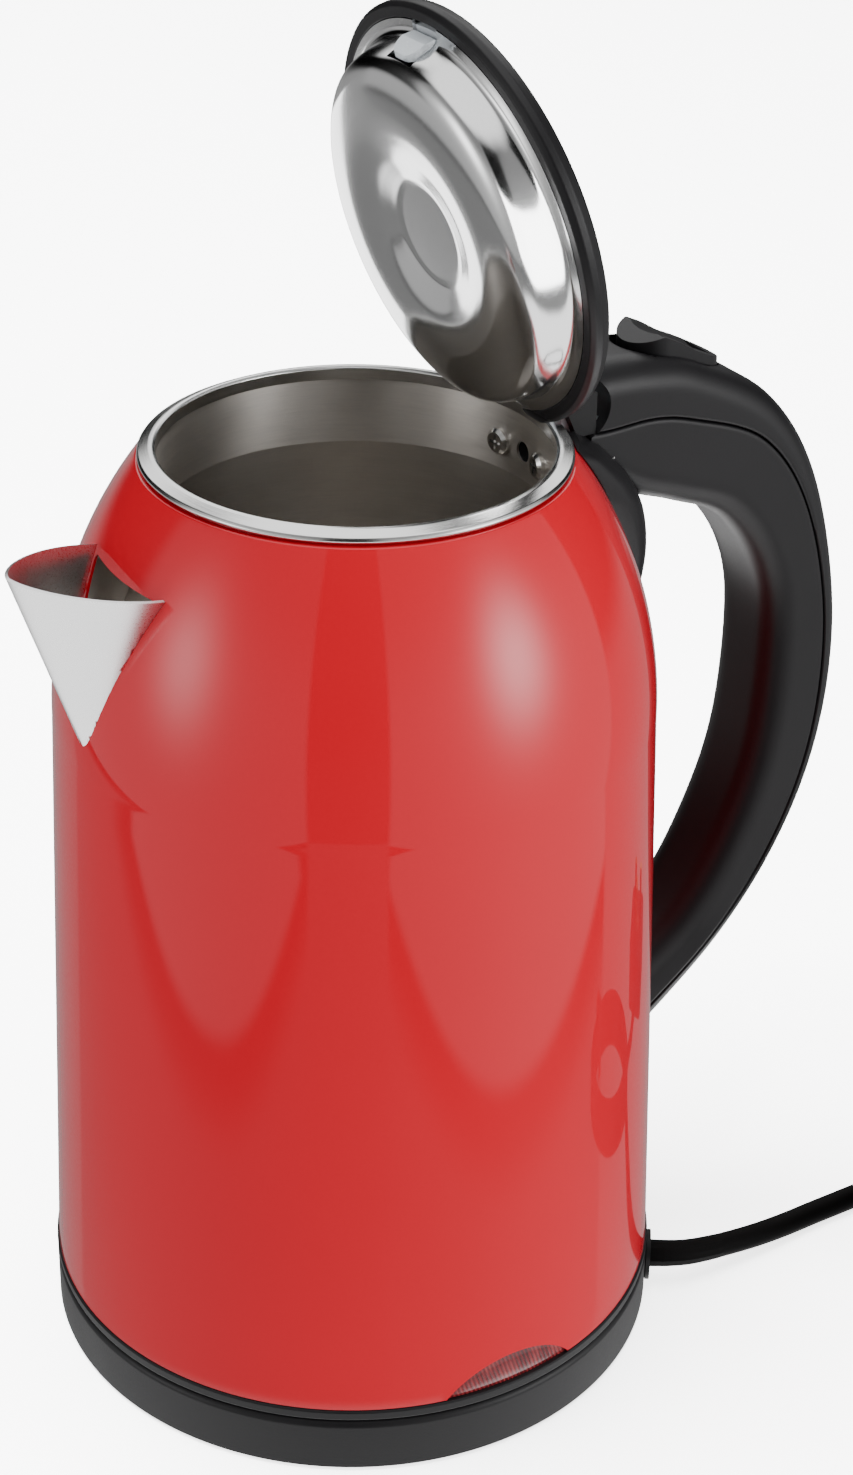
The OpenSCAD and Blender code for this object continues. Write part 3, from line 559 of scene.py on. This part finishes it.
def handle_section(s, side):
    """One slice of the handle on the grip side (-1) or the cover side (1) of its seam."""
    a, b = on_curve(HANDLE_OUTER, s), on_curve(HANDLE_INNER, s)
    deep, half = np.linalg.norm(a - b) / 2, float(on_curve(HANDLE_HALF, s))
    out, middle = unit(a - b), (a + b) / 2
    seam = deep - 2 * deep * float(on_curve(HANDLE_SEAM, s)) + side * SEAM_GAP
    outline = []
    for corner, (su, sv) in enumerate(((1, 1), (-1, 1), (-1, -1), (1, -1))):
        for k in range(25):
            angle = math.radians(90 * corner + 90 * k / 24)
            outline.append(((deep - CORNER_R) * su + CORNER_R * math.cos(angle),
                            (half - CORNER_R) * sv + CORNER_R * math.sin(angle)))
    start = 0 if side < 0 else 50
    outline = outline[start:] + outline[:start]
    # keep the stretch on this side of the seam, from one edge of the seam round to the other
    keep, previous = [], outline[-1]
    for p in outline:
        if (p[0] - seam) * (previous[0] - seam) < 0:
            t = (seam - previous[0]) / (p[0] - previous[0])
            keep.append((seam, previous[1] + t * (p[1] - previous[1])))
        if side * (p[0] - seam) >= 0:
            keep.append(p)
        previous = p
    path = np.array(keep)
    length = np.concatenate([[0], np.cumsum(np.linalg.norm(np.diff(path, axis=0), axis=1))])
    soft = 0.45
    at = np.concatenate([[soft, soft + 0.8], np.linspace(soft + 2, length[-1] - soft - 2, 45),
                         [length[-1] - soft - 0.8, length[-1] - soft]])
    points = [(np.interp(d, length, path[:, 0]), np.interp(d, length, path[:, 1])) for d in at]
    first, last = path[0], path[-1]
    inwards = unit(first - last)
    points += [tuple(last + inwards * soft), tuple(last + inwards * (soft + 0.8)),
               tuple(first - inwards * (soft + 0.8)), tuple(first - inwards * soft)]
    return [(middle[0] + u * out[0], v, middle[1] + u * out[1]) for u, v in points]


def hinge_pocket():
    """Room for the lid's hinge and its bracket at the front of the handle."""
    return [rod("pocket_round", (57, -40, 257.5), (57, 40, 257.5), 8.5, segments=64),
            block("pocket_box", (50, -POCKET_HALF, 250), (62, POCKET_HALF, 276)),
            block("bracket_box", (60, -11, 250), (72.2, 11, 253.3))]


ROCKER_X0, ROCKER_X1, ROCKER_HALF = 78.6, 107.0, 9.0


def rocker_plan(grow, front):
    """A tall bar with the rocker's outline from above, a long shape with round ends."""
    r = ROCKER_HALF + grow
    half_turn = np.linspace(-math.pi / 2, math.pi / 2, 33)
    points = [(ROCKER_X1 - ROCKER_HALF + r * math.cos(a), r * math.sin(a)) for a in half_turn]
    points += [(ROCKER_X0 + ROCKER_HALF - front - r * math.cos(a), r * math.sin(a)) for a in -half_turn]
    return prism("rocker_plan", points, "z", 230, 290, "black_plastic")


def rocker_slot():
    """The opening in the top of the handle that the rocker sits in."""
    slot = prism("slot_cutter", [(70, 280), (70, 254), (110, 243), (110, 280)], "y", -20, 20, "black_plastic")
    return cut(slot, rocker_plan(0.5, 1.6), operation="INTERSECT")


def neck_clear():
    """Room round the neck rim and the lid."""
    return revolve("neck_cutter", [(0, 240), (54.6, 240), (54.6, 300), (0, 300)], "black_matte", 192)


stations = np.linspace(0, 9, 190)
grip = loft("handle_grip", [handle_section(s, -1) for s in stations], "black_plastic", smooth_angle=50)
back = loft("handle_back", [handle_section(s, 1) for s in stations], "black_plastic", smooth_angle=50)
for piece in (grip, back):
    cut(piece, shell_solid(0.15, 30, SHELL_TOP_Z), neck_clear(), *hinge_pocket(), rocker_slot())
    smooth(piece)
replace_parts(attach(grip, "kettle"), "handle_body")
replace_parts(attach(back, "kettle"), "handle_cover")

SADDLE_R = [(173, 77.8), (186, 81.4), (199, 83.8), (213, 84.2), (226.5, 81), (238.5, 73.8),
            (247.3, 65), (252.2, 57)]
SADDLE_GAP, SADDLE_EDGE = 0.16, 0.35
SADDLE_HALF = [(173, 0.8), (176, 2.6), (180, 5), (196, 11), (214, 16.5), (234, 22), (252.2, 25)]


def make_saddle():
    """The flange that hugs the shoulder under the handle, thick in the middle and thin at its edges."""
    rings = []
    for z in np.linspace(173.2, 252.2, 70):
        station = float(np.interp(z, [p[0] for p in SADDLE_R], range(len(SADDLE_R))))
        half = np.interp(z, *zip(*SADDLE_HALF))
        base = shell_r(z) + SADDLE_GAP
        high = max(0.3, float(on_curve(SADDLE_R, station)[1]) - base - SADDLE_EDGE)
        turn = half / base
        ring = []
        for k in range(33):
            f = -1 + 2 * k / 32
            a = f * turn
            r = base + SADDLE_EDGE + high * (1 - abs(f) ** 2.6) ** 0.6
            ring.append((r * math.cos(a), r * math.sin(a), z))
        for k in range(9):
            a = (1 - 2 * k / 8) * turn
            ring.append((base * math.cos(a), base * math.sin(a), z))
        rings.append(ring)
    return loft("handle_saddle", rings, "black_plastic", smooth_angle=40)


saddle = make_saddle()
cut(saddle, neck_clear(), block("saddle_box", (50, -POCKET_HALF, 250), (72, POCKET_HALF, 276)))
smooth(saddle)
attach(saddle, "kettle")

rocker_outline = rounded([(78, 267.2), (85.5, 269.6), (90, 267.5), (96, 263.9), (102, 261.2), (108, 258.4),
                          (108, 255.4), (100, 253.4), (96.5, 249), (91.5, 249), (87, 258), (78, 263)],
                         [0, 1.6, 6, 10, 8, 0, 0, 0.5, 0.3, 0.3, 0.5, 0], 6)
rocker = prism("rocker_key", rocker_outline, "y", -10, 10, "black_plastic")
cut(rocker, rocker_plan(0, 0), operation="INTERSECT")
cut(rocker, rod("thumb_dish", (82, 0, 294.7), (112, 0, 279.7), 21.9, segments=160))
soft_edge = rocker.modifiers.new("bevel", "BEVEL")
soft_edge.width, soft_edge.segments = 0.45 * MM, 3
soft_edge.limit_method, soft_edge.angle_limit = "ANGLE", math.radians(35)
apply_modifiers(rocker)
smooth(rocker)
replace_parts(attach(rocker, "switch"), "switch_rocker")

# ---------------------------------------------------------------- lid, made shut and then opened

HINGE_X, HINGE_Z, OPEN_ANGLE, ARM_HALF, BUTTON_X = 47.0, 263.5, 76.5, 11.4, -34.0
PIVOT = Vector((HINGE_X, 0, HINGE_Z)) * MM
OPEN = (Matrix.Translation(PIVOT) @ Matrix.Rotation(math.radians(OPEN_ANGLE), 4, "Y")
        @ Matrix.Translation(-PIVOT))


def swing_clear():
    """What the lid loses behind its hinge, so that it can turn."""
    box = block("swing_box", (HINGE_X, -40, 240), (HINGE_X + 20, 40, 280))
    return cut(box, rod("swing_round", (HINGE_X, -50, HINGE_Z), (HINGE_X, 50, HINGE_Z), 6.9, segments=96))


def slot_clear(from_x):
    """A slot for the hinge's arms, from one X to the back of the lid."""
    return block("slot_box", (from_x, -ARM_HALF, 240), (from_x + 30, ARM_HALF, 280))


def opened(obj, body, node_name):
    """Turns a piece that was made shut to the open lid's place, where it stands for a CAD node."""
    obj.data.transform(OPEN)
    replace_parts(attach(obj, body), node_name)


pan_line = [(12, 247.2), (13.6, 247.0), (15.5, 246.45), (17.8, 245.8), (20, 245.2), (22.2, 244.75),
            (24.5, 244.4), (27.5, 244.05), (31, 243.95), (34.5, 244.2), (38, 244.7), (40.5, 245.3),
            (42.4, 246.2), (43.8, 247.5), (44.6, 249.3), (45.2, 251.6), (45.8, 254.2), (46.4, 255.5),
            (47.5, 256.2), (49.8, 256.4)]
pan_fine = [on_curve(pan_line, k / 4) for k in range(4 * (len(pan_line) - 1) + 1)]
pan_back = [(r - 0.55 if z > 247 else r, z + 0.7) for r, z in pan_line[::-1]]
pan = revolve("lid_dish", [(0, 247.2), (11.4, 247.2), *pan_fine, (49.8, 257.05), *pan_back, (0, 247.9)],
              "lid_steel")
cut(pan, block("latch_notch", (-60, -5.2, 248), (-40, 5.2, 260)), swing_clear(), slot_clear(46.6))
smooth(pan)
opened(pan, "lid", "lid_pan")

ring = revolve("lid_collar", rounded(
    [(50, 257.3), (50, 256.4), (52.6, 256.4), (53.7, 257.6), (53.7, 259.4), (52.6, 262.0), (50.5, 262.9),
     (44, 262.9), (44, 260.4), (47, 260.2), (49, 258.8)],
    [0.2, 0.3, 0.8, 1, 2, 2, 1, 0.3, 0.3, 0.3, 0.3]), "black_plastic")
cut(ring, swing_clear(), slot_clear(39.5))
smooth(ring)
opened(ring, "lid", "lid_ring")

cap_top = [(50.2 * t, 266.6 - 3.6 * t * t) for t in np.linspace(0, 1, 30)]
cap_under = [(49.4 * t, 265.9 - 2.95 * t * t) for t in np.linspace(1, 0, 30)]
cap = revolve("lid_dome", [*cap_top, *cap_under], "lid_steel")
cut(cap, rod("button_hole", (BUTTON_X, 0, 250), (BUTTON_X, 0, 280), 8.4, segments=96),
    swing_clear(), slot_clear(41))
smooth(cap)
opened(cap, "lid", "lid_cap")

latch_side = rounded([(-44, 248.5), (-45.4, 248.5), (-47.3, 253), (-47.3, 256.5), (-34, 256.5),
                      (-34, 254.3), (-44, 254.3)], [0.6, 0.6, 1, 0.4, 0.2, 0.2, 0.5])
latch_front = rounded([(-4.8, 262), (-4.8, 248.6), (4.8, 248.6), (4.8, 262)], [0, 3.9, 3.9, 0], 10)
latch = prism("latch_tongue", latch_side, "y", -6, 6, "clear_latch")
cut(latch, prism("latch_plan", latch_front, "x", -60, -30, "clear_latch"), operation="INTERSECT")
smooth(latch)
opened(latch, "latch", "lid_latch")

button_line = rounded([(8, 261.8), (8, 266.5), (6.6, 266.5), (0.0, 266.1)], [0.2, 0.7, 0.6, 0])
button = revolve("button_key", [(0, 261.8), *button_line], "black_plastic", 128)
button.data.transform(Matrix.Translation((BUTTON_X * MM, 0, 0)))
opened(button, "button", "lid_button")

# ---------------------------------------------------------------- base

BASE_R = 83.3
base_outline = rounded([(BASE_R, 0.9), (BASE_R, 16.4), (79.2, 16.4), (78.2, 13.4), (15.1, 13.4), (15.1, 11.2),
                        (80.9, 11.2), (80.9, 0.9)], [0.5, 2.0, 0.5, 0.6, 0.3, 0, 0.5, 0.3], 7)
base = revolve("base_case", base_outline, "black_plastic", 320)
EXIT_TURN = math.radians(-35)
exit_way = Vector((math.cos(EXIT_TURN), math.sin(EXIT_TURN), 0))
exit_height = Vector((0, 0, 8.8))
cut(base, rod("cord_hole", exit_way * 75 + exit_height, exit_way * 90 + exit_height, 4.4))
smooth(base)
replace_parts(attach(base, "base"), "base_housing")

bottom_outline = rounded([(26, 17), (68, 17), (68, 13.8), (72, 13.8), (72, 17), (82.6, 16.8),
                          (BASE_R, 17.5), (BASE_R, 19.6), (82.9, 20), (80.4, 20), (80.4, 27),
                          (78.4, 27), (78.4, 19.2), (26, 19.2)],
                         [0.2, 0.2, 0.4, 0.4, 0.2, 0.5, 0.5, 0.3, 0.2, 0.1, 0.3, 0.3, 0.3, 0.2])
bottom = revolve("bottom_case", bottom_outline, "black_plastic", 320)
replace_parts(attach(bottom, "kettle"), "bottom_ring")

# ---------------------------------------------------------------- indicator window

LENS_HALF, LENS_FOOT_Z, LENS_TURN_R = 19.15, 20.15, 82.5


def make_lens():
    """The lens that follows the body's curve, a little sunk at its edges and swollen in the middle."""
    rings = []
    for k in range(49):
        y = LENS_HALF * (-1 + 2 * k / 48)
        top = LENS_Z + math.sqrt((LENS_R - 0.15) ** 2 - y * y)
        a = -math.pi / 2 + y / LENS_TURN_R
        ring = []
        for j in range(13):
            z = LENS_FOOT_Z + (top - LENS_FOOT_Z) * j / 12
            swell = 0.35 * math.sin(math.pi * j / 12) ** 0.5 * (1 - (y / LENS_HALF) ** 2)
            r = shell_r(max(z, SHELL_FOOT_Z)) - 0.85 + swell
            ring.append((r * math.cos(a), r * math.sin(a), z))
        for j in range(12, -1, -1):
            z = LENS_FOOT_Z + (top - LENS_FOOT_Z) * j / 12
            r = shell_r(max(z, SHELL_FOOT_Z)) - 1.8
            ring.append((r * math.cos(a), r * math.sin(a), z))
        rings.append(ring)
    return loft("lens_window", rings, "lens", smooth_angle=50)


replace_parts(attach(make_lens(), "kettle"), "indicator_lens")

# ---------------------------------------------------------------- floor and light

def stage_mesh(name, verts, faces, glow):
    """A paper floor or backdrop, which is seen but doesn't tint or darken the kettle."""
    mesh = bpy.data.meshes.new(name)
    mesh.from_pydata(verts, [], faces)
    obj = bpy.data.objects.new(name, mesh)
    scene.collection.objects.link(obj)
    n = Nodes(name + "_paper")
    mesh.materials.append(n.shader(
        Base_Color=n.ramp(n.noise(3.0), (0.3, (0.86, 0.86, 0.86)), (0.7, (0.88, 0.88, 0.88))),
        Roughness=0.8, Specular_IOR_Level=0.0, Emission_Color=(1, 1, 1, 1), Emission_Strength=glow))
    obj.visible_diffuse = obj.visible_glossy = obj.visible_transmission = obj.visible_shadow = False
    return obj


WALL_R, WALL_H, SIDES = 7.0, 6.0, 72
around = [(WALL_R * math.cos(a), WALL_R * math.sin(a))
          for a in (math.radians(360 / SIDES * k) for k in range(SIDES))]
floor = stage_mesh("floor", [(x, y, 0) for x, y in around], [tuple(range(len(around)))], 3.0)
backdrop = stage_mesh("backdrop", [(x, y, z) for z in (0, WALL_H) for x, y in around],
                      [(k, (k + 1) % SIDES, SIDES + (k + 1) % SIDES, SIDES + k) for k in range(SIDES)],
                      7.5)

world = bpy.data.worlds.new("studio")
scene.world = world


class Studio(Nodes):
    """The room that the kettle reflects, by direction: azimuth from the front (+ is right), elevation."""

    FRONT = math.radians(-120.5)

    def __init__(self):
        super().__init__("studio", world)
        n = self.tree.nodes.new("ShaderNodeSeparateXYZ")
        self.put(n.inputs[0], self.coords.outputs["Generated"])
        x, y, z = n.outputs
        c, s = math.cos(self.FRONT), math.sin(self.FRONT)
        front = self.math("ADD", self.math("MULTIPLY", x, c), self.math("MULTIPLY", y, s))
        right = self.math("SUBTRACT", self.math("MULTIPLY", y, c), self.math("MULTIPLY", x, s))
        self.az = self.math("MULTIPLY", self.math("ARCTAN2", right, front), 180 / math.pi)
        self.el = self.math("MULTIPLY", self.math("ARCSINE", z), 180 / math.pi)

    def step(self, value, low, high):
        """0 below the low end, 1 above the high end, smooth between them."""
        n = self.tree.nodes.new("ShaderNodeMapRange")
        n.interpolation_type = "SMOOTHSTEP"
        for key, v in (("Value", value), ("From Min", low), ("From Max", high)):
            self.put(n.inputs[key], v)
        return n.outputs[0]

    def times(self, *values):
        out = values[0]
        for v in values[1:]:
            out = self.math("MULTIPLY", out, v)
        return out

    def plus(self, *values):
        out = values[0]
        for v in values[1:]:
            out = self.math("ADD", out, v)
        return out

    def less(self, value):
        return self.math("SUBTRACT", 1.0, value)

    def between(self, low, high, soft=1.2):
        """1 between two azimuths, with soft ends."""
        return self.times(self.step(self.az, low - soft, low + soft),
                          self.less(self.step(self.az, high - soft, high + soft)))

    def blob(self, az, el, width, height, amount):
        """A round soft glow."""
        a = self.math("DIVIDE", self.math("SUBTRACT", self.az, az), width)
        e = self.math("DIVIDE", self.math("SUBTRACT", self.el, el), height)
        far = self.plus(self.times(a, a), self.times(e, e))
        return self.times(self.math("EXPONENT", self.times(far, -0.5)), amount)

    def curve(self, middle, lowest, rise_l, width_l, rise_r, width_r):
        """An elevation that rises either side of one azimuth, like the rounded foot of a soft box."""
        a = self.math("SUBTRACT", self.az, middle)
        l = self.math("DIVIDE", self.math("MINIMUM", a, 0.0), width_l)
        r = self.math("DIVIDE", self.math("MAXIMUM", a, 0.0), width_r)
        return self.plus(self.times(l, l, rise_l), self.times(r, r, rise_r), lowest)


# two soft boxes with rounded feet, left and right of a dark gap, over a pale table
w = Studio()
above_left = w.math("SUBTRACT", w.el, w.curve(-51, -31.6, 1.4, 26, 3.2, 30))
above_right = w.math("SUBTRACT", w.el, w.curve(60, -32.7, 4.0, 45, 3.0, 45))
behind = w.times(w.less(w.step(w.az, -104, -94)), w.step(w.el, -10, 0))
left, gap, right = w.between(-128, -17), w.between(-17, 12.5), w.between(12.5, 108)
far_back = w.step(w.math("ABSOLUTE", w.az), 132, 146)
over = w.plus(w.times(w.step(w.el, 50, 64), w.less(far_back)), w.times(w.step(w.el, 12, 26), far_back))
panel_l = w.times(left, w.step(above_left, -0.2, 0.5), w.less(over), w.less(behind))
panel_r = w.times(right, w.step(above_right, -0.2, 0.5), w.less(over))
table_l = w.times(left, w.less(w.step(above_left, -0.2, 0.5)), w.less(w.step(above_left, -2.6, -0.4)))
table_r = w.times(right, w.less(w.step(above_right, -0.2, 0.5)), w.less(w.step(above_right, -2.6, -0.4)))
sides = w.times(w.less(w.plus(left, right, gap)), w.less(w.step(w.el, -12, -2)))
table = w.less(w.step(w.el, -28, -27))
near = w.less(w.step(w.el, -46, -40))
fade = w.less(w.times(w.step(w.el, 0, 42), 0.45))
light = w.plus(
    w.times(panel_l, fade, 0.54), w.times(panel_r, fade, 0.64),
    w.times(table_l, 0.25), w.times(table_r, 0.26),
    w.times(gap, table, 0.24), w.times(gap, w.less(table), w.less(w.step(w.el, -16, 4)), 0.05),
    w.times(sides, 0.38), w.times(over, 1.9), w.times(near, 2.2),
    w.blob(-68, 8, 9, 10, 3.0), w.blob(-68, 6, 20, 20, 0.45),
    w.blob(65, 10, 9, 10, 7.0), w.blob(65, 6, 20, 20, 0.8))
back = w.tree.nodes.new("ShaderNodeBackground")
w.put(back.inputs[0], (1, 1, 1, 1))
w.put(back.inputs[1], light)
w.tree.links.new(back.outputs[0], w.out.inputs["Surface"])


def soft_box(name, at, to, size, watts, only=None, glossy=True):
    """A rectangular lamp aimed at a point, which may light some pieces only, or stay out of reflections."""
    data = bpy.data.lights.new(name, "AREA")
    data.shape = "RECTANGLE"
    data.size, data.size_y = size
    data.energy = watts
    box = bpy.data.objects.new(name, data)
    scene.collection.objects.link(box)
    box.location = at
    box.rotation_euler = (Vector(to) - Vector(at)).to_track_quat("-Z", "Y").to_euler()
    box.visible_glossy = glossy
    if only:
        lit = bpy.data.collections.new(name + "_lit")
        for obj in only:
            lit.objects.link(obj)
        box.light_linking.receiver_collection = lit
    return box


soft_box("floor_box", (-0.6, 0.5, 3.0), (0, 0, 0), (2.6, 2.6), 700, only=[floor])
soft_box("side_box", (1.0, -1.7, 0.9), (0, 0, 0.15), (1.2, 1.2), 22, glossy=False)
soft_box("left_box", (-1.9, -0.2, 0.9), (0, 0, 0.15), (1.2, 1.2), 12, glossy=False)
soft_box("lid_card_l", (0.02, 0.238, 0.19), (0.018, 0.025, 0.3), (0.11, 0.15), 0.2, only=[pan])
soft_box("lid_card_r", (-0.11, -0.48, 0.26), (0.018, -0.04, 0.31), (0.8, 0.42), 10.0, only=[pan])
